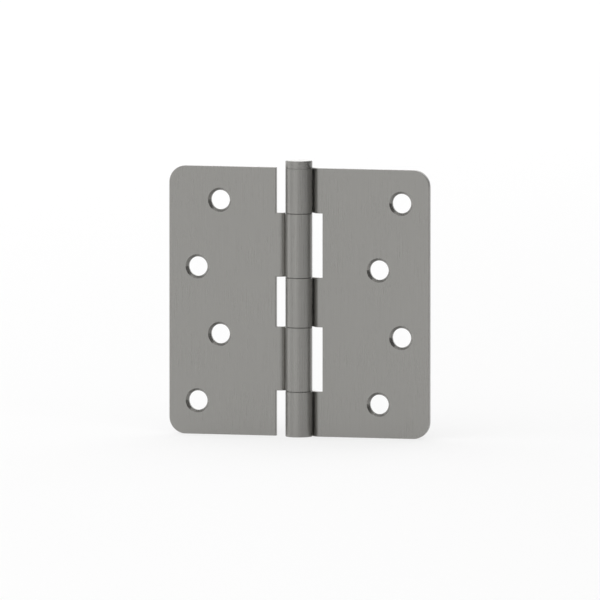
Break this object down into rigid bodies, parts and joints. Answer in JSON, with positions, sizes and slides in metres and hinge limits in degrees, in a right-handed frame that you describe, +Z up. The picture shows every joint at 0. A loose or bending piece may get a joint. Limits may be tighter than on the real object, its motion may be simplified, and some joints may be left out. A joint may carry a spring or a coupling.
{
  "type": "butt hinge",
  "caption": "Open door butt hinge: swaged sheet-steel leaves with rolled knuckles round a headed loose pin, rounded corners and staggered countersunk screw holes.",
  "frame": {"origin": "on the pin axis at the lower end of the barrel, level with the lower edges of the leaves", "axes": "+Z up the pin towards its head, +X towards the frame leaf, -Y towards the side the screw heads go in from, leaves open flat"},
  "size_m": [0.1016, 0.0102, 0.1045],
  "materials": {
    "satin_steel": "satin plated"
  },
  "bodies": {
    "frame_leaf": {"frame_leaf": "satin_steel"},
    "door_leaf": {"door_leaf": "satin_steel"},
    "hinge_pin": {"hinge_pin": "satin_steel"}
  },
  "joints": [
    {"name": "leaf_swing", "type": "hinge", "parent": "frame_leaf", "child": "door_leaf", "pos_m": [0, 0, 0.0508], "axis": [0, 0, 1], "range_deg": [-144, 180]},
    {"name": "pin_lift", "type": "slide", "parent": "frame_leaf", "child": "hinge_pin", "axis": [0, 0, 1], "range_m": [0, 0.102]}
  ]
}
